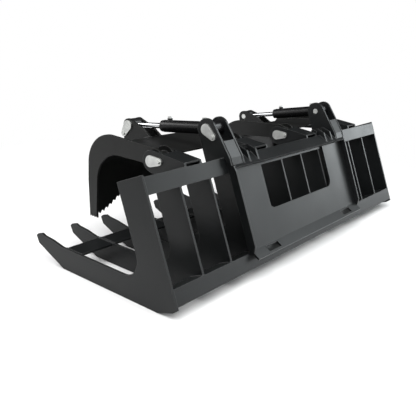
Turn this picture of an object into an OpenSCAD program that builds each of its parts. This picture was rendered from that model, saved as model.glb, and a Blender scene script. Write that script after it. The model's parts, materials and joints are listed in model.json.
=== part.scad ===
// Root grapple: a comb of L-shaped tines with two clamping arms, for a front loader.
// X runs across the width, Y points forward along the tines, Z is up from the ground.
// The origin is on the ground, at the middle of the whole part's length and width.

/* [Comb] */
// Width over the two end tines
comb_w = 2286; // [1900:1:2500]
// Thickness of each tine plate
tine_t = 12; // [8:0.5:16]
// Height of the floor leg of a tine
leg_h = 107; // [90:1:130]
// Reach of the floor leg, from the heel to its foremost point
leg_reach = 909; // [850:1:1000]
// Length of the ramp under the nose
ramp_l = 202; // [160:1:240]
// Height of the wear hump at the nose above the floor leg
hump_h = 24; // [10:1:32]
// Lean of the back towards the front, from upright
back_lean = 23.5; // [20:0.5:26]
// Depth of the upright leg, square to the back
upright_d = 150; // [130:1:170]
// Radius of the inside corner between the two legs
corner_r = 78; // [50:1:100]

/* [Tubes] */
// Side of both square cross tubes
tube_w = 76; // [60:1:80]
// Wall of the cross tubes
tube_wall = 6; // [4:0.5:10]
// Distance along the back from the heel to the lower tube
low_tube_s = 15; // [10:1:25]
// Distance along the back from the heel to the upper tube
high_tube_s = 482; // [470:1:490]
// Depth of the flat stiffeners between the tines
stiffener_d = 100; // [80:1:120]
// Thickness of the flat stiffeners
stiffener_t = 12; // [8:0.5:14]

/* [Mount] */
// Clear width between the side plates of the mount
mount_w = 1150; // [1146:1:1180]
// Thickness of the mount sheet
mount_t = 10; // [8:0.5:12]
// Distance along the back from the heel to the bend of the ledge
mount_s0 = 97; // [94:1:110]
// Depth of the side plates and of the hook behind the back
mount_side_d = 42; // [38:1:48]
// Thickness of the side plates of the mount
mount_side_t = 12; // [8:0.5:14]
// Width of the window in the mount sheet
window_w = 674; // [500:1:700]
// Distance along the back from the heel to the foot of the window
window_s0 = 255; // [220:1:300]
// Corner radius of the window
window_r = 45; // [20:1:60]
// Depth of the angled ledge under the mount
ledge_d = 58; // [50:1:64]
// Angle of the ledge to the mount sheet
ledge_angle = 35; // [30:1:40]
// Width of each wedge pocket in the ledge
pocket_w = 110; // [60:1:120]
// Depth of each wedge pocket in the ledge
pocket_d = 32; // [25:1:36]
// Distance of each wedge pocket from the middle
pocket_x = 412; // [400:1:425]

/* [Towers] */
// Distance of each arm and its cylinder from the middle
arm_x = 543; // [543:1:560]
// Distance of the cylinder's rear pin above the heel, along the back
tower_pin_s = 708.6; // [695:0.1:720]
// Distance of the cylinder's rear pin in front of the back
tower_pin_f = 57.2; // [50:0.1:60]
// Radius of the rounded tops of the tower plates
tower_r = 52; // [46:1:56]
// Clear width between the tower plates
tower_gap = 87; // [84:1:90]
// Thickness of tower, ear and bracket plates
lug_t = 12; // [8:0.5:14]
// Thickness of the covers on towers and brackets
cover_t = 8; // [5:0.5:10]
// Width of a hose guide's foot on the upper tube
guide_foot = 60; // [50:1:70]
// Height of a hose guide above the upper tube
guide_h = 42; // [34:1:50]

/* [Arms] */
// Distance of the hinge pin above the heel, along the back
hinge_s = 624; // [618:1:630]
// Distance of the hinge pin in front of the back
hinge_f = 191; // [186:1:198]
// How much further the right arm stands closed than the left one, in degrees
right_arm_drop = 6; // [0:0.5:6]
// Distance between the two hinges of one arm
hinge_spread = 547.5; // [545:0.5:550]
// Clear width between the plates of a hinge bracket
bracket_gap = 94.5; // [90:0.5:96]
// Radius of a bracket round its pin
bracket_r = 50; // [46:1:52]
// Radius of an arm plate round its pin
arm_hub_r = 60; // [56:1:62]
// Thickness of the claw plates
claw_t = 12; // [8:0.5:14]
// Outer radius of the claw's bend
claw_out_r = 160; // [150:1:165]
// Inner radius of the claw's bend
claw_in_r = 150; // [140:1:155]
// Thickness of the bent skin between the claws
skin_t = 8; // [5:0.5:10]
// Outer radius of the bend of the skin
skin_r = 150; // [140:1:155]
// Height of the arch in the lower edge of the skin
arch_rise = 125; // [80:1:150]
// Number of saw teeth along the skin
skin_teeth = 24; // [16:2:30]
// Height of a saw tooth
tooth_h = 16; // [6:1:18]
// Radius from the hinge pin to the rod pin
ear_reach = 444; // [440:1:450]
// Angle of the rod pin above the level of the hinge pin, on the left arm
ear_angle = 8; // [7:0.5:9]
// Radius of the ears round the rod pin
ear_r = 36; // [34:1:40]
// Clear width between the two ears
ear_gap = 64; // [62:1:70]

/* [Pins] */
// Diameter of the arm hinge pins
hinge_pin_d = 40; // [30:0.5:44]
// Diameter of the cylinder pins
cyl_pin_d = 30; // [24:0.5:32]
// Diametral running clearance of pins, rod and piston
running = 0.12; // [0.04:0.02:0.18]
// Outer diameter of the arm's hinge tubes
hub_tube_d = 70; // [56:1:80]
// Thickness of the zinc pin keepers
keeper_t = 8; // [5:0.5:10]
// Centre distance of pin and small end on a keeper
keeper_l = 52; // [48:1:60]
// Radius of the large end of a keeper
keeper_r = 27; // [25:1:32]
// Radius of the small end of a keeper
keeper_r2 = 17; // [15:1:22]
// Side clearance between moving plates
side_gap = 2; // [1:0.5:3]

/* [Cylinders] */
// Outer diameter of the barrel
barrel_d = 62; // [58:1:66]
// Bore of the barrel
bore_d = 50; // [46:0.5:52]
// Length of the barrel from its pin to the face of its gland
barrel_l = 326; // [300:1:345]
// Diameter of the chrome rod
rod_d = 28; // [22:0.5:32]
// Diameter of the cross tubes on barrel and rod
eye_d = 68; // [66:1:72]
// Play round the pin in the rod's eye, where the linkage is left open
eye_play = 10; // [9.5:0.5:11]
// Length of the chrome rod, from its eye to the piston
rod_l = 320; // [312:1:330]
// Length of the gland inside the barrel
gland_l = 28; // [20:1:40]
// Length of the gland's collar
collar_l = 14; // [10:1:20]
// Width of the piston
piston_l = 36; // [28:1:44]
// Diameter of a port boss
port_d = 26; // [22:1:30]
// Height of a port boss above the barrel
port_h = 9; // [6:1:12]
// Thread bore of a port boss
port_bore_d = 14; // [10:0.5:16]

/* [Hidden] */
$fn = 64;
big = 4000;
paint = [0.13, 0.13, 0.13];
zinc = [0.85, 0.86, 0.84];
chrome = [0.9, 0.9, 0.92];

// The back's own frame: s runs up along its rear face from the heel, f runs square to it, forward
heel_z = 45;
function from_heel(f, s) = [
    s * sin(back_lean) + f * cos(back_lean),
    heel_z + s * cos(back_lean) - f * sin(back_lean)];
function at_back(f, s) = from_heel(f, s) - [mid_y, 0];
function ahead(p, angle, l) = [p[0] + l * cos(angle), p[1] + l * sin(angle)];
function dist(a, b) = norm(b - a);
function direction(a, b) = atan2(b[1] - a[1], b[0] - a[0]);

tine_count = 12;
pitch = (comb_w - tine_t) / (tine_count - 1);
top_s = high_tube_s + tube_w;
end_rise = 8;
rib_inset = 6;
heel_y = 107;

// Direction from each pin to the bolt of its keeper
hinge_keeper_angle = 172;
tower_keeper_angle = 214;
rod_keeper_angle = -60;

// The part's rearmost corner is on the ledge, its foremost point on the left rod pin's keeper
ledge_corner = [
    -ledge_d * sin(ledge_angle) - mount_t * cos(ledge_angle),
    mount_s0 - ledge_d * cos(ledge_angle) + mount_t * sin(ledge_angle)];
rear_y = from_heel(ledge_corner[0], ledge_corner[1])[0];
front_y = max(leg_reach, from_heel(hinge_f, hinge_s)[0] + ear_reach * cos(ear_angle)
    + keeper_l * cos(rod_keeper_angle) + keeper_r2);
mid_y = (rear_y + front_y) / 2;

// Arm frame: the origin is the hinge pin, as the left arm stands
hinge = at_back(hinge_f, hinge_s);
tower_pin = at_back(tower_pin_f, tower_pin_s);
ear = [ear_reach * cos(ear_angle), ear_reach * sin(ear_angle)];
function turned(p, a) = [p[0] * cos(a) - p[1] * sin(a), p[0] * sin(a) + p[1] * cos(a)];
function rod_pin_at(drop) = hinge + turned(ear, -drop);
claw_half = hinge_spread / 2 + bracket_gap / 2 - side_gap;
tongue_in = hinge_spread / 2 - bracket_gap / 2 + side_gap;

// Claw outline, from the hinge pin
bend_out = [276, -91];
bend_in = [221, -171];
claw_tip_z = -375;
claw_tip_w = 50;
claw_tip_y = 420;
skin_bend = [256, -121];
skin_rear_y = -34;
skin_front_y = skin_bend[0] + skin_r;
skin_top_z = skin_bend[1] + skin_r;
arch_foot_z = -358;
web_half = tongue_in - lug_t - 2 * side_gap;
web_clear_y = 70;
tongue_l = 230;

// Plates stand in the YZ plane, so outlines are drawn as [y, z] and pulled along X
module across(t) {
    rotate([90, 0, 90])
        linear_extrude(t, center = true)
            children();
}

module side_at(x, t) {
    translate([x, 0, 0])
        across(t)
            children();
}

module back_frame() {
    translate([0, -mid_y, heel_z])
        rotate([-back_lean, 0, 0])
            children();
}

module back_outline() {
    translate([-mid_y, heel_z])
        rotate(-back_lean)
            children();
}

module peg(d, l) {
    rotate([0, 90, 0])
        cylinder(d = d, h = l, center = true);
}

module arm_frame(drop) {
    translate([0, hinge[0], hinge[1]])
        rotate([-drop, 0, 0])
            children();
}

module for_side(side) {
    translate([side * arm_x, 0, 0])
        children();
}

// Comb

// One L-shaped tine: floor leg, raised nose, leaning upright and a rounded inside corner
module tine_outline(end_plate) {
    top = end_plate ? top_s + end_rise : top_s;
    rear = end_plate ? 0 : rib_inset;
    ramp_y = leg_reach - ramp_l;
    foot = from_heel(upright_d, top);
    corner_y = foot[0] - (foot[1] - leg_h) * tan(back_lean);
    reach = corner_r / tan((90 - back_lean) / 2);
    corner_c = [corner_y + reach, leg_h + corner_r];
    heel = end_plate
        ? [from_heel(rear, 3), [24, 30], [heel_y, 0]]
        : [from_heel(rear, top_s / 2), from_heel(rear, low_tube_s + 30),
           from_heel(tube_w - 10, low_tube_s + 8), [heel_y + 12, 0]];
    difference() {
        polygon([
            each heel,
            [ramp_y, 0],
            [leg_reach - 18, 78],
            [leg_reach, leg_h + 5],
            [leg_reach - 12, leg_h + 17],
            [leg_reach - 40, leg_h + hump_h + 2],
            [leg_reach - 61, leg_h + hump_h - 5],
            [leg_reach - 125, leg_h + hump_h - 11],
            [ramp_y + 10, leg_h],
            [corner_c[0], leg_h],
            ahead([corner_y, leg_h], 90 - back_lean, reach),
            foot,
            from_heel(rear, top)]);
        translate(corner_c)
            circle(corner_r);
    }
    corner_web(corner_y, reach, corner_c);
}

// Fill between the two legs, left by the circle of the inside corner
module corner_web(corner_y, reach, corner_c) {
    difference() {
        polygon([
            [corner_y - 1, leg_h - 1],
            [corner_c[0], leg_h - 1],
            [corner_c[0], leg_h],
            corner_c,
            ahead([corner_y, leg_h], 90 - back_lean, reach)]);
        translate(corner_c)
            circle(corner_r);
    }
}

module tube_seats() {
    back_outline() {
        translate([-big, low_tube_s])
            square([big + tube_w, tube_w]);
        translate([-big, high_tube_s])
            square([big + tube_w, big]);
    }
}

module tine(i) {
    end_plate = i == 1 || i == tine_count;
    x = (i - 1) * pitch - (comb_w - tine_t) / 2;
    color(paint)
        side_at(x, tine_t)
            difference() {
                translate([-mid_y, 0])
                    tine_outline(end_plate);
                if (!end_plate)
                    tube_seats();
            }
}

module cross_tube(s) {
    color(paint)
        across(comb_w - 2 * tine_t)
            back_outline()
                translate([0, s])
                    difference() {
                        square(tube_w);
                        translate([tube_wall, tube_wall])
                            square(tube_w - 2 * tube_wall);
                    }
}

module top_tube() {
    cross_tube(high_tube_s);
}

module bottom_tube() {
    cross_tube(low_tube_s);
}

stiffener_front = 695;

module tine_stiffeners() {
    color(paint)
        for (i = [1 : tine_count - 1])
            translate([(i - tine_count / 2) * pitch,
                       stiffener_front - stiffener_d / 2 - mid_y,
                       leg_h - stiffener_t / 2])
                cube([pitch - tine_t, stiffener_d, stiffener_t], center = true);
}

// Mount

lip_top = [0, top_s];
lip_run = mount_side_d;
lip_fall = 58;
lip_angle = atan(lip_run / lip_fall);

// Bent sheet in section: sloped hook at the top, flat face, sloped ledge at the foot
module mount_section() {
    back_outline() {
        polygon([
            [0, mount_s0],
            [0, top_s],
            [-mount_t, top_s - mount_t * lip_fall / lip_run],
            [-mount_t, mount_s0]]);
        lip_section();
        translate([0, mount_s0])
            rotate(-ledge_angle)
                translate([-mount_t, -ledge_d])
                    square([mount_t, ledge_d]);
    }
}

module lip_section() {
    polygon([
        lip_top,
        lip_top + [-lip_run, -lip_fall],
        lip_top + [-lip_run, -lip_fall] + mount_t * [cos(lip_angle), -sin(lip_angle)],
        [0, top_s - mount_t / sin(lip_angle)]]);
}

module mount_plate() {
    window_top = lip_top[1] - lip_fall + 2;
    window_h = window_top - window_s0;
    color(paint)
        difference() {
            across(mount_w)
                mount_section();
            back_frame()
                translate([0, big / 2 - 1, window_s0])
                    rotate([90, 0, 0])
                        linear_extrude(big / 2 + mount_t)
                            window_outline(window_h);
            wedge_pockets();
        }
}

module window_outline(h) {
    difference() {
        translate([-window_w / 2, 0])
            square([window_w, h]);
        for (k = [-1, 1])
            scale([k, 1])
                translate([-window_w / 2, 0])
                    difference() {
                        square(window_r);
                        translate([window_r, window_r])
                            circle(window_r);
                    }
    }
}

module wedge_pockets() {
    back_frame()
        translate([0, 0, mount_s0])
            rotate([-ledge_angle, 0, 0])
                for (k = [-1, 1])
                    translate([k * pocket_x, -mount_t / 2, -ledge_d / 2])
                        cube([pocket_w, 3 * mount_t, pocket_d], center = true);
}

// Side plate of the mount: its top follows the hook, so the towers stand clear of it
module side_outline() {
    back_outline()
        polygon([
            [0, mount_s0 - 12],
            [0, top_s],
            [6 - lip_run, top_s - (lip_run - 6) * lip_fall / lip_run],
            [-lip_run, top_s - lip_fall - 22],
            [-lip_run, mount_s0 + 20],
            [16 - lip_run, mount_s0 - 12]]);
}

module mount_sides() {
    color(paint)
        for (k = [-1, 1])
            side_at(k * (mount_w + mount_side_t) / 2, mount_side_t)
                side_outline();
}

// Towers that carry the cylinders

tower_rear_foot = [-33, top_s - 33 * lip_fall / lip_run];
tower_rear_top = [-33, 548];
tower_rear_end = ahead([tower_pin_f, tower_pin_s], 167, tower_r);
tower_cover_l = 88;
bracket_cover_l = 134;

module tower_outline() {
    back_outline() {
        polygon([
            [tube_w, high_tube_s],
            [tube_w, top_s],
            lip_top,
            tower_rear_foot,
            tower_rear_top,
            tower_rear_end,
            [tower_pin_f, tower_pin_s],
            [tower_pin_f + tower_r, tower_pin_s],
            [tube_w + 34, top_s],
            [tube_w + 34, high_tube_s]]);
        translate([tower_pin_f, tower_pin_s])
            circle(tower_r);
    }
}

module tower(side) {
    color(paint)
        for_side(side)
            difference() {
                for (k = [-1, 1])
                    side_at(k * (tower_gap + lug_t) / 2, lug_t)
                        tower_outline();
                translate([0, tower_pin[0], tower_pin[1]])
                    peg(cyl_pin_d, big);
            }
}

module left_tower() {
    tower(-1);
}

module right_tower() {
    tower(1);
}

// Bent cover that closes the foot of a tower at the rear, from the hook upwards
module tower_cover(side) {
    rise = direction(tower_rear_top, tower_rear_end);
    upper = ahead(tower_rear_top, rise, tower_cover_l);
    inner = tower_rear_foot + cover_t * [1, lip_fall / lip_run];
    color(paint)
        for_side(side)
            across(tower_gap)
                back_outline()
                    polygon([
                        tower_rear_foot,
                        tower_rear_top,
                        upper,
                        upper + cover_t * [sin(rise), -cos(rise)],
                        tower_rear_top + [cover_t, 0],
                        inner]);
}

module left_tower_cover() {
    tower_cover(-1);
}

module right_tower_cover() {
    tower_cover(1);
}

// Hinge brackets that carry the arms

module bracket_outline() {
    back_outline() {
        difference() {
            union() {
                translate([hinge_f, hinge_s])
                    circle(bracket_r);
                polygon([
                    [2, top_s],
                    [2, top_s + 18],
                    ahead([hinge_f, hinge_s], 112, bracket_r),
                    [hinge_f, hinge_s],
                    ahead([hinge_f, hinge_s], -50, bracket_r),
                    [tube_w, high_tube_s + 4],
                    [tube_w, top_s]]);
            }
            translate([hinge_f, hinge_s])
                circle(d = hinge_pin_d);
        }
    }
}

module bracket_cover_outline() {
    start = [2, top_s + 18];
    finish = ahead([hinge_f, hinge_s], 112, bracket_r);
    back_outline()
        translate(start)
            rotate(direction(start, finish))
                translate([0, -cover_t])
                    square([bracket_cover_l, cover_t]);
}

module hinge_brackets(side) {
    color(paint)
        for_side(side)
            for (h = [-1, 1])
                translate([h * hinge_spread / 2, 0, 0]) {
                    for (k = [-1, 1])
                        side_at(k * (bracket_gap + lug_t) / 2, lug_t)
                            bracket_outline();
                    across(bracket_gap)
                        bracket_cover_outline();
                }
}

module left_hinge_brackets() {
    hinge_brackets(-1);
}

module right_hinge_brackets() {
    hinge_brackets(1);
}

// Pairs of lugs on the mount's hook that hold the hoses of the cylinders
guide_x = arm_x - 140;
guide_gap = 62;
guide_t = 12;
guide_bolt_d = 13;

module guide_outline() {
    back_outline()
        difference() {
            polygon([
                lip_top,
                lip_top + [-lip_run, -lip_fall] * 0.8,
                lip_top + [-lip_run * 0.8 + 4, 8],
                lip_top + [8, guide_h],
                lip_top + [guide_foot - 14, guide_h],
                lip_top + [guide_foot, 0]]);
            translate(lip_top + [22, 24])
                circle(d = guide_bolt_d);
        }
}

module hose_guides() {
    bolt = at_back(22, top_s + 24);
    color(paint)
        for (k = [-1, 1])
            translate([k * guide_x, 0, 0]) {
                for (m = [-1, 1])
                    side_at(m * (guide_gap + guide_t) / 2, guide_t)
                        guide_outline();
                translate([0, bolt[0], bolt[1]]) {
                    peg(guide_bolt_d, guide_gap + 2 * guide_t);
                    for (m = [-1, 1])
                        translate([m * (guide_gap / 2 + guide_t + 4), 0, 0])
                            rotate([0, 90, 0])
                                cylinder(d = 22, h = 8, center = true, $fn = 6);
                }
            }
}

// Pins and keepers

hinge_pin_l = bracket_gap + 2 * lug_t + keeper_t;
tower_pin_l = tower_gap + 2 * lug_t + keeper_t;
rod_pin_l = ear_gap + 2 * lug_t + keeper_t;

module pin_at(p, x, d, l, out) {
    translate([x + out * keeper_t / 2, p[0], p[1]])
        peg(d, l);
}

module hinge_pins(side) {
    color(zinc)
        for (h = [-1, 1])
            pin_at(hinge, side * arm_x + h * hinge_spread / 2, hinge_pin_d, hinge_pin_l, h);
}

module left_hinge_pins() {
    hinge_pins(-1);
}

module right_hinge_pins() {
    hinge_pins(1);
}

module left_tower_pin() {
    color(zinc)
        pin_at(tower_pin, -arm_x, cyl_pin_d, tower_pin_l, -1);
}

module right_tower_pin() {
    color(zinc)
        pin_at(tower_pin, arm_x, cyl_pin_d, tower_pin_l, 1);
}

// Teardrop plate round the end of a pin, held by one bolt at its small end
module keeper(pin_d, angle, out) {
    rotate([0, 90, 0])
        rotate(90)
            rotate(angle) {
                linear_extrude(keeper_t, center = true)
                    difference() {
                        keeper_outline();
                        circle(d = pin_d);
                    }
                translate([keeper_l, 0, out * (keeper_t / 2 + 4)])
                    cylinder(d = 20, h = 8, center = true, $fn = 6);
            }
}

// The straight sides run just inside the true tangents, so they cross both rounds cleanly
module keeper_outline() {
    inset = 0.1;
    tangent = acos((keeper_r - keeper_r2) / keeper_l);
    circle(keeper_r);
    translate([keeper_l, 0])
        circle(keeper_r2);
    polygon([
        ahead([0, 0], tangent, keeper_r - inset),
        ahead([keeper_l, 0], tangent, keeper_r2 - inset),
        ahead([keeper_l, 0], -tangent, keeper_r2 - inset),
        ahead([0, 0], -tangent, keeper_r - inset)]);
}

module keeper_at(p, x, pin_d, angle, out) {
    translate([x, p[0], p[1]])
        keeper(pin_d, angle, out);
}

module hinge_pin_keepers() {
    off = bracket_gap / 2 + lug_t + keeper_t / 2;
    color(zinc)
        for (side = [-1, 1])
            for (h = [-1, 1])
                keeper_at(hinge, side * arm_x + h * (hinge_spread / 2 + off),
                          hinge_pin_d, hinge_keeper_angle, h);
}

module tower_pin_keepers() {
    off = tower_gap / 2 + lug_t + keeper_t / 2;
    color(zinc)
        for (side = [-1, 1])
            keeper_at(tower_pin, side * (arm_x + off), cyl_pin_d, tower_keeper_angle, side);
}

// Arms

// Curved claw plate: round hub, level back, bend, and a tapering claw with saw teeth at its tip
module claw_outline() {
    hub_in = arm_hub_r - 1;
    hub_top = ahead([0, 0], 92, hub_in);
    tooth = claw_tip_w / 3;
    difference() {
        union() {
            circle(arm_hub_r);
            intersection() {
                translate(bend_out)
                    circle(claw_out_r);
                translate(bend_out)
                    square(big);
            }
            polygon([
                [0, 0],
                ahead([0, 0], -70, hub_in),
                [arm_hub_r, bend_in[1] + claw_in_r],
                bend_in + [0, claw_in_r],
                [bend_in[0] + claw_in_r, bend_in[1]],
                [claw_tip_y - claw_tip_w + 2, claw_tip_z + 45],
                for (k = [3 : -1 : 1])
                    each [[claw_tip_y - k * tooth, claw_tip_z],
                          [claw_tip_y - (k - 0.5) * tooth, claw_tip_z + tooth_h]],
                [claw_tip_y, claw_tip_z],
                [claw_tip_y + 15, claw_tip_z + 188],
                bend_out + [claw_out_r, 0],
                bend_out + [0, claw_out_r],
                hub_top]);
        }
        intersection() {
            translate(bend_in)
                circle(claw_in_r);
            translate(bend_in)
                square(claw_in_r + 1);
        }
    }
}

module claw(side, h, drop) {
    color(paint)
        for_side(side)
            arm_frame(drop)
                difference() {
                    side_at(h * (claw_half - claw_t / 2), claw_t)
                        claw_outline();
                    peg(hub_tube_d, big);
                }
}

module left_outer_claw() {
    claw(-1, -1, 0);
}

module left_inner_claw() {
    claw(-1, 1, 0);
}

module right_outer_claw() {
    claw(1, 1, right_arm_drop);
}

module right_inner_claw() {
    claw(1, -1, right_arm_drop);
}

// Short inner plate beside each claw, which makes the hinge tongue
module tongue_outline() {
    difference() {
        union() {
            circle(arm_hub_r);
            polygon([
                ahead([0, 0], 92, arm_hub_r),
                [web_clear_y, skin_top_z - skin_t],
                [tongue_l, skin_top_z - skin_t],
                [tongue_l - 40, bend_in[1] + claw_in_r],
                [arm_hub_r, bend_in[1] + claw_in_r],
                ahead([0, 0], -70, arm_hub_r),
                [0, 0]]);
        }
        translate([web_clear_y, skin_top_z - skin_t])
            square(big);
    }
}

module tongue_plates(side, drop) {
    color(paint)
        for_side(side)
            arm_frame(drop)
                difference() {
                    for (h = [-1, 1])
                        side_at(h * (tongue_in + lug_t / 2), lug_t)
                            tongue_outline();
                    peg(hub_tube_d, big);
                }
}

module left_tongue_plates() {
    tongue_plates(-1, 0);
}

module right_tongue_plates() {
    tongue_plates(1, right_arm_drop);
}

module hinge_tubes(side, drop) {
    middle = (claw_half + tongue_in) / 2;
    color(zinc)
        for_side(side)
            arm_frame(drop)
                for (h = [-1, 1])
                    translate([h * middle, 0, 0])
                        difference() {
                            peg(hub_tube_d, claw_half - tongue_in);
                            peg(hinge_pin_d + running, big);
                        }
}

module left_hinge_tubes() {
    hinge_tubes(-1, 0);
}

module right_hinge_tubes() {
    hinge_tubes(1, right_arm_drop);
}

// Section of the bent skin: flat top, quarter bend, straight front
module skin_section(rear_y) {
    translate([rear_y, skin_top_z - skin_t])
        square([skin_bend[0] - rear_y, skin_t]);
    translate(skin_bend)
        intersection() {
            difference() {
                circle(skin_r);
                circle(skin_r - skin_t);
            }
            square(big);
        }
    translate([skin_front_y - skin_t, arch_foot_z - tooth_h])
        square([skin_t, skin_bend[1] - arch_foot_z + tooth_h]);
}

skin_half = claw_half - claw_t;
function arch_z(x) = arch_foot_z + arch_rise * (1 + cos(180 * x / skin_half)) / 2;

// Everything below the arched, saw-toothed lower edge of the skin
module arch_cut() {
    step = 2 * skin_half / skin_teeth;
    polygon([
        [-skin_half - 1, -big],
        [-skin_half - 1, arch_z(skin_half)],
        for (k = [0 : skin_teeth - 1])
            let (x = -skin_half + k * step)
                each [[x, arch_z(x)], [x + step / 2, arch_z(x + step / 2) - tooth_h]],
        [skin_half + 1, arch_z(skin_half)],
        [skin_half + 1, -big]]);
}

module arm_skin(side, drop) {
    color(paint)
        for_side(side)
            arm_frame(drop)
                difference() {
                    union() {
                        across(2 * skin_half)
                            skin_section(web_clear_y);
                        across(2 * web_half)
                            skin_section(skin_rear_y);
                    }
                    translate([0, skin_front_y + 1, 0])
                        rotate([90, 0, 0])
                            linear_extrude(skin_t + 2)
                                arch_cut();
                }
}

module left_arm_skin() {
    arm_skin(-1, 0);
}

module right_arm_skin() {
    arm_skin(1, right_arm_drop);
}

// Ears that take the rod's pin, and run down the front of the skin as ribs
module ear_outline() {
    difference() {
        union() {
            translate(ear)
                circle(ear_r);
            polygon([
                [skin_bend[0] + 26, skin_top_z - 20],
                [skin_bend[0] + 26, skin_top_z],
                [skin_bend[0] + 78, skin_top_z + 34],
                ahead(ear, 118, ear_r),
                ear,
                ahead(ear, 8, ear_r),
                [ear[0] + 30, ear[1] - 70],
                [skin_front_y + 10, skin_bend[1] - 40],
                [skin_front_y, skin_bend[1] - 70],
                [skin_front_y, skin_bend[1]]]);
        }
        translate(skin_bend)
            circle(skin_r);
        translate([skin_bend[0] - big, skin_top_z - big])
            square(big);
        translate(skin_bend - [0, big])
            square([skin_r, big]);
        translate(ear)
            circle(d = cyl_pin_d);
    }
}

module ears(side, drop) {
    color(paint)
        for_side(side)
            arm_frame(drop)
                for (k = [-1, 1])
                    side_at(k * (ear_gap + lug_t) / 2, lug_t)
                        ear_outline();
}

module left_ears() {
    ears(-1, 0);
}

module right_ears() {
    ears(1, right_arm_drop);
}

module rod_pin(side, drop) {
    color(zinc)
        for_side(side)
            arm_frame(drop)
                pin_at(ear, 0, cyl_pin_d, rod_pin_l, side);
}

module left_rod_pin() {
    rod_pin(-1, 0);
}

module right_rod_pin() {
    rod_pin(1, right_arm_drop);
}

module rod_pin_keeper(side, drop) {
    off = ear_gap / 2 + lug_t + keeper_t / 2;
    color(zinc)
        for_side(side)
            arm_frame(drop)
                keeper_at(ear, side * off, cyl_pin_d, rod_keeper_angle, side);
}

module left_rod_pin_keeper() {
    rod_pin_keeper(-1, 0);
}

module right_rod_pin_keeper() {
    rod_pin_keeper(1, right_arm_drop);
}

// Cylinders, drawn along +Y from the rear pin and then aimed at the rod pin

eye_w = ear_gap - 2 * side_gap;
base_w = tower_gap - 2 * side_gap;
port_y = [eye_d / 2 + 19, barrel_l - collar_l - gland_l - port_bore_d / 2 - 2];
rod_eye_bore = cyl_pin_d + 2 * eye_play;

module aimed(side, drop) {
    target = rod_pin_at(drop);
    translate([side * arm_x, tower_pin[0], tower_pin[1]])
        rotate([direction(tower_pin, target), 0, 0])
            children();
}

function pin_to_pin(drop) = dist(tower_pin, rod_pin_at(drop));

module along_y(d, l) {
    rotate([-90, 0, 0])
        cylinder(d = d, h = l);
}

// Barrel with its base cross tube and two port bosses, open towards the rod
module barrel(side, drop) {
    bottom = eye_d / 2 + 8;
    color(paint)
        aimed(side, drop)
            difference() {
                union() {
                    along_y(barrel_d, barrel_l - collar_l);
                    peg(eye_d, base_w);
                    for (y = port_y)
                        translate([0, y, 0])
                            cylinder(d = port_d, h = barrel_d / 2 + port_h);
                }
                translate([0, bottom, 0])
                    along_y(bore_d, barrel_l);
                peg(cyl_pin_d + running, big);
                for (y = port_y)
                    translate([0, y, 0])
                        cylinder(d = port_bore_d, h = barrel_d);
            }
}

module left_barrel() {
    barrel(-1, 0);
}

module right_barrel() {
    barrel(1, right_arm_drop);
}

// Gland that guides the rod: a plug in the bore and a collar against the barrel's end
module gland(side, drop) {
    color(paint)
        aimed(side, drop)
            difference() {
                union() {
                    translate([0, barrel_l - collar_l - gland_l, 0])
                        along_y(bore_d, gland_l);
                    translate([0, barrel_l - collar_l, 0])
                        along_y(barrel_d - 4, collar_l);
                }
                along_y(rod_d + running, big);
            }
}

module left_gland() {
    gland(-1, 0);
}

module right_gland() {
    gland(1, right_arm_drop);
}

// Hexagon plugs screwed into the two ports
module port_plugs(side, drop) {
    color(zinc)
        aimed(side, drop)
            for (y = port_y)
                translate([0, y, barrel_d / 2 + port_h]) {
                    cylinder(d = 22, h = 8, $fn = 6);
                    translate([0, 0, -12])
                        cylinder(d = port_bore_d, h = 12);
                }
}

module left_port_plugs() {
    port_plugs(-1, 0);
}

module right_port_plugs() {
    port_plugs(1, right_arm_drop);
}

module at_rod_eye(side, drop) {
    aimed(side, drop)
        translate([0, pin_to_pin(drop), 0])
            children();
}

module rod(side, drop) {
    color(chrome)
        at_rod_eye(side, drop)
            difference() {
                union() {
                    translate([0, -rod_l, 0])
                        along_y(rod_d, rod_l);
                    peg(eye_d, eye_w);
                }
                peg(rod_eye_bore, big);
            }
}

module left_rod() {
    rod(-1, 0);
}

module right_rod() {
    rod(1, right_arm_drop);
}

// Piston on the rod's inner end, with a groove for its seal
module piston(side, drop) {
    groove_l = 10;
    color(zinc)
        at_rod_eye(side, drop)
            translate([0, -rod_l - piston_l, 0])
                difference() {
                    along_y(bore_d - running, piston_l);
                    translate([0, (piston_l - groove_l) / 2, 0])
                        difference() {
                            along_y(bore_d + 2, groove_l);
                            translate([0, -1, 0])
                                along_y(bore_d - 10, groove_l + 2);
                        }
                }
}

module left_piston() {
    piston(-1, 0);
}

module right_piston() {
    piston(1, right_arm_drop);
}

module piston_seal(side, drop) {
    groove_l = 10;
    color([0.1, 0.1, 0.1])
        at_rod_eye(side, drop)
            translate([0, -rod_l - (piston_l + groove_l) / 2, 0])
                difference() {
                    along_y(bore_d - running, groove_l);
                    translate([0, -1, 0])
                        along_y(bore_d - 10, groove_l + 2);
                }
}

module left_piston_seal() {
    piston_seal(-1, 0);
}

module right_piston_seal() {
    piston_seal(1, right_arm_drop);
}

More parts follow.
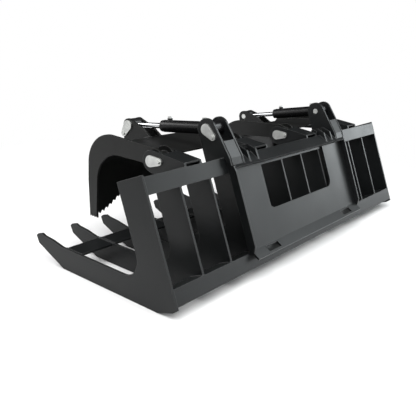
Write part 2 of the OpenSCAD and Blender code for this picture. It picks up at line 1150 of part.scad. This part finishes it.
tine(1);  // tine_01
tine(2);  // tine_02
tine(3);  // tine_03
tine(4);  // tine_04
tine(5);  // tine_05
tine(6);  // tine_06
tine(7);  // tine_07
tine(8);  // tine_08
tine(9);  // tine_09
tine(10);  // tine_10
tine(11);  // tine_11
tine(12);  // tine_12
top_tube();
bottom_tube();
tine_stiffeners();
mount_plate();
mount_sides();
left_tower();
right_tower();
left_tower_cover();
right_tower_cover();
left_hinge_brackets();
right_hinge_brackets();
hose_guides();
left_hinge_pins();
right_hinge_pins();
left_tower_pin();
right_tower_pin();
hinge_pin_keepers();
tower_pin_keepers();
left_outer_claw();
left_inner_claw();
left_arm_skin();
left_hinge_tubes();
left_tongue_plates();
left_ears();
left_rod_pin();
left_rod_pin_keeper();
right_outer_claw();
right_inner_claw();
right_arm_skin();
right_hinge_tubes();
right_tongue_plates();
right_ears();
right_rod_pin();
right_rod_pin_keeper();
left_barrel();
left_gland();
left_port_plugs();
left_rod();
left_piston();
left_piston_seal();
right_barrel();
right_gland();
right_port_plugs();
right_rod();
right_piston();
right_piston_seal();
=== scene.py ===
"""Looks of the root grapple: paint, zinc, chrome, weld beads, light and the photo's camera.

The CAD nodes stay as packed. Lengths are in metres, angles in radians and powers in watts.
"""
import json

import bmesh
import bpy
from mathutils import Matrix, Vector
from mathutils.bvhtree import BVHTree


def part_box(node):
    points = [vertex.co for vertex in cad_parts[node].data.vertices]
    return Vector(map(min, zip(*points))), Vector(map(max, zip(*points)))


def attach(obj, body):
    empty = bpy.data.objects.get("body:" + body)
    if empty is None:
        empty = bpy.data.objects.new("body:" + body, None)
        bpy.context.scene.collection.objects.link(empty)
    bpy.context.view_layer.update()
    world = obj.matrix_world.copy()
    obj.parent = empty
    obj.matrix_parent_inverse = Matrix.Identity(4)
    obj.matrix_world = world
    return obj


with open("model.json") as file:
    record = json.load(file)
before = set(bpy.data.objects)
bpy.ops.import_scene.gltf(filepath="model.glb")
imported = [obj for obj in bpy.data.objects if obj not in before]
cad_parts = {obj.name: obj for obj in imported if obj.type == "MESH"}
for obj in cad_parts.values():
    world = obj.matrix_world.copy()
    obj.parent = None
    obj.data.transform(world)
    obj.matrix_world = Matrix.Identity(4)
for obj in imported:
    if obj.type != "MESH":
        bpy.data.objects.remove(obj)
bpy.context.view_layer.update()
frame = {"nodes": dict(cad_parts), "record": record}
nodes = frame["nodes"]
scene = bpy.context.scene

SIDES = ("left_", "right_")
TINE_COUNT = 12
WHITE = (1.0, 1.0, 1.0)


# Shader nodes

# Most of a noise lies between these values, so tones and gloss are spread over them
NOISE_LOW, NOISE_HIGH = 0.3, 0.7


def new_material(name):
    """A material that holds one shader: the material, its tree and the shader."""
    mat = bpy.data.materials.new(name)
    mat.use_nodes = True
    tree = mat.node_tree
    tree.nodes.clear()
    out = tree.nodes.new("ShaderNodeOutputMaterial")
    shader = tree.nodes.new("ShaderNodeBsdfPrincipled")
    tree.links.new(shader.outputs["BSDF"], out.inputs["Surface"])
    return mat, tree, shader


def rgba(colour):
    return (*colour, 1.0)


def feed(tree, source, socket):
    """Links the source to the socket, or sets it there if it is a constant."""
    if isinstance(source, bpy.types.NodeSocket):
        tree.links.new(source, socket)
    else:
        socket.default_value = source


def object_coords(tree):
    return tree.nodes.new("ShaderNodeTexCoord").outputs["Object"]


def noise(tree, coords, scale, detail):
    node = tree.nodes.new("ShaderNodeTexNoise")
    node.inputs["Scale"].default_value = scale
    node.inputs["Detail"].default_value = detail
    tree.links.new(coords, node.inputs["Vector"])
    return node.outputs["Fac"]


def ramp(tree, fac, stops):
    """The colour at fac among the stops, which are pairs of a position and a colour."""
    node = tree.nodes.new("ShaderNodeValToRGB")
    # The next loop moves each new element to its place
    while len(node.color_ramp.elements) < len(stops):
        node.color_ramp.elements.new(0.5)
    for element, (position, colour) in zip(node.color_ramp.elements, stops):
        element.position = position
        element.color = rgba(colour)
    tree.links.new(fac, node.inputs["Fac"])
    return node.outputs["Color"]


def map_range(tree, value, start, end, low=0.0, high=1.0, kind="LINEAR"):
    """The value rescaled so that start gives low and end gives high, and held beyond them."""
    node = tree.nodes.new("ShaderNodeMapRange")
    node.interpolation_type = kind
    node.inputs["From Min"].default_value = start
    node.inputs["From Max"].default_value = end
    node.inputs["To Min"].default_value = low
    node.inputs["To Max"].default_value = high
    tree.links.new(value, node.inputs["Value"])
    return node.outputs["Result"]


def tones(tree, fac, colours):
    """A noise as a colour, from the first of two colours to the second."""
    return ramp(tree, fac, list(zip((NOISE_LOW, NOISE_HIGH), colours)))


def spread(tree, fac, values):
    """A noise as a number, from the first of two values to the second."""
    return map_range(tree, fac, NOISE_LOW, NOISE_HIGH, *values)


def calculate(tree, operation, first, second):
    node = tree.nodes.new("ShaderNodeMath")
    node.operation = operation
    feed(tree, first, node.inputs[0])
    feed(tree, second, node.inputs[1])
    return node.outputs["Value"]


def vector_node(tree, operation, first, second=None):
    """The node itself, because its result is a vector or a value."""
    node = tree.nodes.new("ShaderNodeVectorMath")
    node.operation = operation
    feed(tree, first, node.inputs[0])
    if second is not None:
        feed(tree, second, node.inputs[1])
    return node


def mix_colours(tree, fac, first, second):
    node = tree.nodes.new("ShaderNodeMix")
    node.data_type = "RGBA"
    feed(tree, fac, node.inputs["Factor"])
    feed(tree, first, node.inputs["A"])
    feed(tree, second, node.inputs["B"])
    return node.outputs["Result"]


def mix_shaders(tree, fac, first, second):
    # Both shader inputs have the same name, so they go by number
    node = tree.nodes.new("ShaderNodeMixShader")
    tree.links.new(fac, node.inputs["Fac"])
    tree.links.new(first, node.inputs[1])
    tree.links.new(second, node.inputs[2])
    return node.outputs["Shader"]


def background(tree, colour, strength):
    node = tree.nodes.new("ShaderNodeBackground")
    feed(tree, colour, node.inputs["Color"])
    node.inputs["Strength"].default_value = strength
    return node.outputs["Background"]


def seen_rays(tree):
    """1 for the rays that see the background: from the camera, off metal or through glass."""
    path = tree.nodes.new("ShaderNodeLightPath")
    seen = path.outputs["Is Camera Ray"]
    for other in ("Is Glossy Ray", "Is Transmission Ray"):
        seen = calculate(tree, "MAXIMUM", seen, path.outputs[other])
    return seen


# Enamel

EDGE_RADIUS = 0.0025
EDGE_SAMPLES = 6
# Cosine of the angle between rounded and flat normal, where the edge wear and painted edge
# highlight start and where they are full
WEAR_AND_HIGHLIGHT_START, WEAR_AND_HIGHLIGHT_FULL = 0.995, 0.80
# How much of the edge wear and painted edge highlight shows, from patch to patch
WEAR_AND_HIGHLIGHT_SPREAD = (0.35, 1.0)
ENAMEL_SPECULAR = 0.28
# Orange peel: the strength and the depth of its bumps
PEEL_STRENGTH, PEEL_DEPTH = 0.04, 0.0006

# Scale and detail of each noise
SLOW_TONE = (2.2, 3.0)
SLOW_GLOSS = (5.0, 4.0)
WEAR_AND_HIGHLIGHT_PATCHES = (22.0, 5.0)
ORANGE_PEEL = (260.0, 2.0)


def rounded(tree):
    """The normal as if edges were rounded, and the mask of edge wear and painted edge highlight: 0
    inside a face, 1 on an edge.
    """
    bevel = tree.nodes.new("ShaderNodeBevel")
    bevel.samples = EDGE_SAMPLES
    bevel.inputs["Radius"].default_value = EDGE_RADIUS
    normal = bevel.outputs["Normal"]
    flat = tree.nodes.new("ShaderNodeNewGeometry").outputs["True Normal"]
    lean = vector_node(tree, "DOT_PRODUCT", normal, flat).outputs["Value"]
    return normal, map_range(tree, lean, WEAR_AND_HIGHLIGHT_START, WEAR_AND_HIGHLIGHT_FULL)


def paint(name, colours, edge, roughness):
    """Sprayed enamel with slow changes of tone and gloss, orange peel, and edges lightened both as
    worn paint and as a painted highlight.

    The two colours and the two values of roughness are the ends of their noises.
    """
    mat, tree, shader = new_material(name)
    coords = object_coords(tree)
    normal, worn_and_highlit = rounded(tree)
    patches = spread(tree, noise(tree, coords, *WEAR_AND_HIGHLIGHT_PATCHES), WEAR_AND_HIGHLIGHT_SPREAD)
    # Edges take the lighter edge colour: partly paint worn thin, partly a painted highlight along
    # every edge
    rubbed_and_highlit = calculate(tree, "MULTIPLY", worn_and_highlit, patches)
    tone = tones(tree, noise(tree, coords, *SLOW_TONE), colours)
    gloss = spread(tree, noise(tree, coords, *SLOW_GLOSS), roughness)
    feed(tree, mix_colours(tree, rubbed_and_highlit, tone, rgba(edge)), shader.inputs["Base Color"])
    feed(tree, gloss, shader.inputs["Roughness"])
    shader.inputs["Specular IOR Level"].default_value = ENAMEL_SPECULAR
    peel = tree.nodes.new("ShaderNodeBump")
    peel.inputs["Strength"].default_value = PEEL_STRENGTH
    peel.inputs["Distance"].default_value = PEEL_DEPTH
    tree.links.new(noise(tree, coords, *ORANGE_PEEL), peel.inputs["Height"])
    tree.links.new(normal, peel.inputs["Normal"])
    tree.links.new(peel.outputs["Normal"], shader.inputs["Normal"])
    return mat


# Metal

MOTTLE_DETAIL = 4.0
# The gloss has a noise of its own, this many times finer than the tone's
GLOSS_FINER = 2.0
GLOSS_DETAIL = 3.0

# A rod is chromed, and its eye is painted black out to EYE_REACH from the pin's axis
EYE_REACH = 0.036
EYE_FADE = 0.001
# The pin lies along x, so the distance from its axis is taken in y and z
ACROSS_PIN = (0.0, 1.0, 1.0)
EYE_TONES = ((0.006, 0.006, 0.0064), (0.010, 0.010, 0.0104))
CHROME_TONES = ((0.52, 0.53, 0.54), (0.59, 0.60, 0.61))
EYE_ROUGHNESS, CHROME_ROUGHNESS = 0.34, 0.11
ROD_MOTTLE = 30.0


def metal(name, colours, roughness, scale):
    """Plated or bare metal with a faint mottle."""
    mat, tree, shader = new_material(name)
    coords = object_coords(tree)
    mottle = noise(tree, coords, scale, MOTTLE_DETAIL)
    gloss = noise(tree, coords, scale * GLOSS_FINER, GLOSS_DETAIL)
    feed(tree, tones(tree, mottle, colours), shader.inputs["Base Color"])
    feed(tree, spread(tree, gloss, roughness), shader.inputs["Roughness"])
    shader.inputs["Metallic"].default_value = 1.0
    return mat


def rod_metal(name, eye):
    """The chrome of a rod, with black paint round the eye's centre."""
    mat, tree, shader = new_material(name)
    coords = object_coords(tree)
    away = vector_node(tree, "SUBTRACT", coords, eye).outputs["Vector"]
    across = vector_node(tree, "MULTIPLY", away, ACROSS_PIN).outputs["Vector"]
    distance = vector_node(tree, "LENGTH", across).outputs["Value"]
    plated = map_range(tree, distance, EYE_REACH, EYE_REACH + EYE_FADE)
    mottle = noise(tree, coords, ROD_MOTTLE, MOTTLE_DETAIL)
    colour = mix_colours(tree, plated, tones(tree, mottle, EYE_TONES),
                         tones(tree, mottle, CHROME_TONES))
    gloss = map_range(tree, plated, 0.0, 1.0, EYE_ROUGHNESS, CHROME_ROUGHNESS)
    feed(tree, colour, shader.inputs["Base Color"])
    feed(tree, plated, shader.inputs["Metallic"])
    feed(tree, gloss, shader.inputs["Roughness"])
    return mat


# The look of each slot

# Each edge colour is both worn paint and a painted highlight along the part's edges
LOOK = {
    "frame_paint": paint(
        "frame_enamel", colours=((0.0052, 0.0060, 0.0063), (0.0078, 0.0088, 0.0092)),
        edge=(0.07, 0.072, 0.072), roughness=(0.30, 0.40)),
    "arm_paint": paint(
        "arm_enamel", colours=((0.0050, 0.0052, 0.0050), (0.0070, 0.0073, 0.0070)),
        edge=(0.07, 0.072, 0.07), roughness=(0.28, 0.38)),
    "cylinder_paint": paint(
        "cylinder_enamel", colours=((0.003, 0.003, 0.0034), (0.005, 0.005, 0.0054)),
        edge=(0.03, 0.03, 0.032), roughness=(0.22, 0.32)),
    "zinc": metal(
        "zinc_plate", colours=((0.50, 0.51, 0.50), (0.64, 0.65, 0.63)),
        roughness=(0.38, 0.50), scale=40.0),
    "bare_steel": metal(
        "bare_steel", colours=((0.42, 0.42, 0.42), (0.52, 0.52, 0.52)),
        roughness=(0.30, 0.42), scale=30.0),
    "seal": paint(
        "seal_rubber", colours=((0.010, 0.010, 0.010), (0.016, 0.016, 0.016)),
        edge=(0.02, 0.02, 0.02), roughness=(0.6, 0.75)),
}

for part in frame["record"]["subparts"]:
    name, slot = part["node"], part["material_slot"]
    mesh = nodes[name].data
    mesh.materials.clear()
    if slot == "rod_chrome":
        low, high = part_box(name.replace("_rod", "_rod_pin"))
        centre = tuple((a + b) / 2 for a, b in zip(low, high))
        mesh.materials.append(rod_metal(name + "_chrome", centre))
    else:
        mesh.materials.append(LOOK[slot])


# Weld beads, laid where the edge of one plate stands on the face of another part

WELD_RADIUS = 0.0032
WELD_RESOLUTION = 1
# A bead swells and shrinks from each step to the next, as weld ripples do
WELD_STEP = 0.012
WELD_SHRINK = 0.86
# Shorter contacts get no bead
WELD_MIN_RUN = 0.025
# A bead's centre line keeps this far from what moves past
CLEAR = WELD_RADIUS + 0.0008

# Only an edge with at least this angle between its faces is welded
SHARP = 0.5
# It touches a part that lies this near to all three of these points along it
TOUCH = 0.0008
TOUCH_POINTS = (0.02, 0.5, 0.98)
# Corners this near to each other are one
SAME_POINT = 1e-5


def surface(name):
    mesh = nodes[name].data
    return BVHTree.FromPolygons([v.co for v in mesh.vertices], [p.vertices for p in mesh.polygons])


def within(trees, point, distance):
    return any(tree.find_nearest(point, distance)[0] is not None for tree in trees)


def touches(tree, a, b):
    return all(within([tree], a.lerp(b, k), TOUCH) for k in TOUCH_POINTS)


def contact_edges(plate, others):
    """The plate's sharp edges that lie on another part: the ends' numbers and their points."""
    trees = [surface(name) for name in others]
    bm = bmesh.new()
    bm.from_mesh(nodes[plate].data)
    bmesh.ops.remove_doubles(bm, verts=bm.verts, dist=SAME_POINT)
    found = []
    for edge in bm.edges:
        if len(edge.link_faces) != 2 or edge.calc_face_angle() < SHARP:
            continue
        start, end = edge.verts
        if any(touches(tree, start.co, end.co) for tree in trees):
            found.append((start.index, end.index, start.co.copy(), end.co.copy()))
    bm.free()
    return found


def runs_of(edges):
    """Joins edges that share ends into runs of points, open or closed."""
    place, meets = {}, {}
    for ia, ib, a, b in edges:
        place[ia], place[ib] = a, b
        meets.setdefault(ia, []).append(ib)
        meets.setdefault(ib, []).append(ia)
    left = {tuple(sorted(e[:2])) for e in edges}
    out = []
    # Runs from ends and forks come first, so that what is left is closed
    for start in sorted(meets, key=lambda v: (len(meets[v]) == 2, v)):
        for step in sorted(meets[start]):
            if tuple(sorted((start, step))) not in left:
                continue
            run, last, here = [start], start, step
            while True:
                left.discard(tuple(sorted((last, here))))
                run.append(here)
                on = [n for n in sorted(meets[here]) if tuple(sorted((here, n))) in left]
                if len(meets[here]) != 2 or not on:
                    break
                last, here = here, on[0]
            out.append([place[v] for v in run])
    return out


def stepped(run):
    """The run's points, with more between them about every WELD_STEP."""
    points = [run[0]]
    for a, b in zip(run, run[1:]):
        parts = max(1, round((b - a).length / WELD_STEP))
        points += [a.lerp(b, k / parts) for k in range(1, parts + 1)]
    return points


def welds(name, body, slot, pairs, movers):
    """One piece with a body's beads, without those that the movers would touch."""
    moving = [surface(mover) for mover in movers]
    curve = bpy.data.curves.new(name, "CURVE")
    curve.dimensions = "3D"
    curve.bevel_depth = WELD_RADIUS
    curve.bevel_resolution = WELD_RESOLUTION
    curve.use_fill_caps = True
    for plate, others in pairs:
        for run in runs_of(contact_edges(plate, others)):
            if sum((b - a).length for a, b in zip(run, run[1:])) < WELD_MIN_RUN:
                continue
            points = stepped(run)
            if any(within(moving, point, CLEAR) for point in points):
                continue
            spline = curve.splines.new("POLY")
            spline.points.add(len(points) - 1)
            for k, (point, place) in enumerate(zip(spline.points, points)):
                point.co = (*place, 1.0)
                point.radius = 1.0 if k % 2 else WELD_SHRINK
    obj = bpy.data.objects.new(name, curve)
    scene.collection.objects.link(obj)
    curve.materials.append(LOOK[slot])
    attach(obj, body)


tines = ["tine_%02d" % (k + 1) for k in range(TINE_COUNT)]
frame_pairs = [(tine, ["top_tube", "bottom_tube"]) for tine in tines]
frame_pairs += [("tine_stiffeners", tines), ("mount_sides", ["mount_plate"]),
                ("hose_guides", ["mount_plate", "top_tube"])]
for side in SIDES:
    frame_pairs += [(side + "tower", ["top_tube", "mount_plate"]),
                    (side + "tower_cover", [side + "tower", "mount_plate"]),
                    (side + "hinge_brackets", ["top_tube"])]
moving_parts = ("outer_claw", "inner_claw", "hinge_tubes", "tongue_plates", "arm_skin", "barrel")
frame_movers = [side + part for side in SIDES for part in moving_parts]
welds("welds_frame", "frame", "frame_paint", frame_pairs, frame_movers)
for side in SIDES:
    claws = [side + "outer_claw", side + "inner_claw"]
    arm_pairs = [(plates, [side + "hinge_tubes"]) for plates in claws + [side + "tongue_plates"]]
    arm_pairs += [(side + "ears", [side + "arm_skin"]), (side + "arm_skin", claws)]
    arm_movers = [side + "hinge_brackets", side + "rod"]
    welds("welds_" + side + "arm", side + "arm", "arm_paint", arm_pairs, arm_movers)


# Camera: found from the photo's vanishing lines and corners, with y from the tines' heel

# The origin lies this far ahead of the heel
ORIGIN_AHEAD = 0.4465
EYE = Vector((-2.7439, -1.3068 - ORIGIN_AHEAD, 1.1739))
RIGHT = Vector((0.61423, -0.78601, 0.07008))
UP = Vector((0.20626, 0.24564, 0.94715))
FORWARD = Vector((0.76168, 0.56732, -0.31301))
LENS_MM, SENSOR_MM = 50.0, 36.0
CLIP_END = 60.0

camera_data = bpy.data.cameras.new("camera")
camera_data.lens = LENS_MM
camera_data.sensor_width = SENSOR_MM
camera_data.sensor_fit = "HORIZONTAL"
camera_data.clip_end = CLIP_END
camera = bpy.data.objects.new("camera", camera_data)
turn = Matrix((RIGHT, UP, -FORWARD)).transposed().to_4x4()
camera.matrix_world = Matrix.Translation(EYE) @ turn
scene.collection.objects.link(camera)
scene.camera = camera


# Floor: pale below the part, and the background's white further out

FLOOR_SIZE = 9.0
FLOOR_BELOW = 0.0005
FLOOR_TONES = ((0.87, 0.87, 0.87), (0.89, 0.89, 0.89))
FLOOR_NOISE = (0.6, 2.0)
FLOOR_ROUGHNESS = 0.9
# Distances from the origin where the floor starts to turn white and where it is white
FADE_START, FADE_END = 1.2, 2.6

half = FLOOR_SIZE / 2
square = ((-half, -half), (half, -half), (half, half), (-half, half))
corners = [(x, y, -FLOOR_BELOW) for x, y in square]
floor_mesh = bpy.data.meshes.new("floor")
floor_mesh.from_pydata(corners, [], [(0, 1, 2, 3)])
floor = bpy.data.objects.new("floor", floor_mesh)
scene.collection.objects.link(floor)

floor_mat, tree, shader = new_material("floor_pale")
coords = object_coords(tree)
floor_tone = tones(tree, noise(tree, coords, *FLOOR_NOISE), FLOOR_TONES)
feed(tree, floor_tone, shader.inputs["Base Color"])
shader.inputs["Roughness"].default_value = FLOOR_ROUGHNESS
radius = vector_node(tree, "LENGTH", coords).outputs["Value"]
fade = map_range(tree, radius, FADE_START, FADE_END, kind="SMOOTHSTEP")
white = calculate(tree, "MULTIPLY", fade, seen_rays(tree))
glow = tree.nodes.new("ShaderNodeEmission")
mixed = mix_shaders(tree, white, shader.outputs["BSDF"], glow.outputs["Emission"])
out = next(node for node in tree.nodes if node.type == "OUTPUT_MATERIAL")
tree.links.new(mixed, out.inputs["Surface"])
floor_mesh.materials.append(floor_mat)


# World: a studio that is bright behind and beside the mount, and dark beyond the tine tips.
# The camera sees plain white, and metal sees the studio.

TO_DARK_END = (0.75, 0.66, 0.0)
# From the bright end of the studio to the dark one
STUDIO = [(0.0, WHITE), (0.45, (0.8, 0.8, 0.8)), (0.8, (0.04, 0.04, 0.04))]
STUDIO_LIGHT = 0.5
SEEN_LIGHT = 1.0

world = bpy.data.worlds.new("world")
scene.world = world
world.use_nodes = True
tree = world.node_tree
tree.nodes.clear()
direction = tree.nodes.new("ShaderNodeTexCoord").outputs["Generated"]
along = vector_node(tree, "DOT_PRODUCT", direction, TO_DARK_END).outputs["Value"]
studio = ramp(tree, map_range(tree, along, -1.0, 1.0), STUDIO)
camera_ray = tree.nodes.new("ShaderNodeLightPath").outputs["Is Camera Ray"]
seen = mix_colours(tree, camera_ray, studio, rgba(WHITE))
surround = mix_shaders(tree, seen_rays(tree), background(tree, studio, STUDIO_LIGHT),
                       background(tree, seen, SEEN_LIGHT))
out = tree.nodes.new("ShaderNodeOutputWorld")
tree.links.new(surround, out.inputs["Surface"])


# Lamps: soft rectangles, each with its place, target, width and height, power and colour

COOL = (0.92, 0.98, 1.0)
LAMPS = {
    "left_fill": ((-5.0, 1.5, 1.4), (0, 0, 0.4), (3.0, 2.4), 12.0, WHITE),
    "rear_right": ((5.4, -4.2, 1.7), (0.7, -0.4, 0.4), (4.6, 2.4), 78.0, COOL),
    "rear_end": ((6.8, -2.3, 1.4), (1.0, -0.4, 0.5), (1.6, 1.6), 45.0, COOL),
    "upper_right": ((5.0, -2.8, 4.0), (0, -0.3, 0.6), (3.0, 2.4), 120.0, COOL),
    "front_soft": ((-2.0, 6.0, 3.0), (0, 0.5, 0.4), (5.0, 3.0), 260.0, WHITE),
    "top_soft": ((-1.5, -1.5, 5.0), (-0.6, -0.4, 0), (6.0, 6.0), 380.0, WHITE),
}
for name, (place, target, size, power, colour) in LAMPS.items():
    lamp = bpy.data.lights.new(name, "AREA")
    lamp.shape = "RECTANGLE"
    lamp.size, lamp.size_y = size
    lamp.energy = power
    lamp.color = colour
    obj = bpy.data.objects.new(name, lamp)
    obj.location = place
    obj.rotation_euler = (Vector(target) - Vector(place)).to_track_quat("-Z", "Y").to_euler()
    scene.collection.objects.link(obj)

scene.view_settings.view_transform = "Standard"
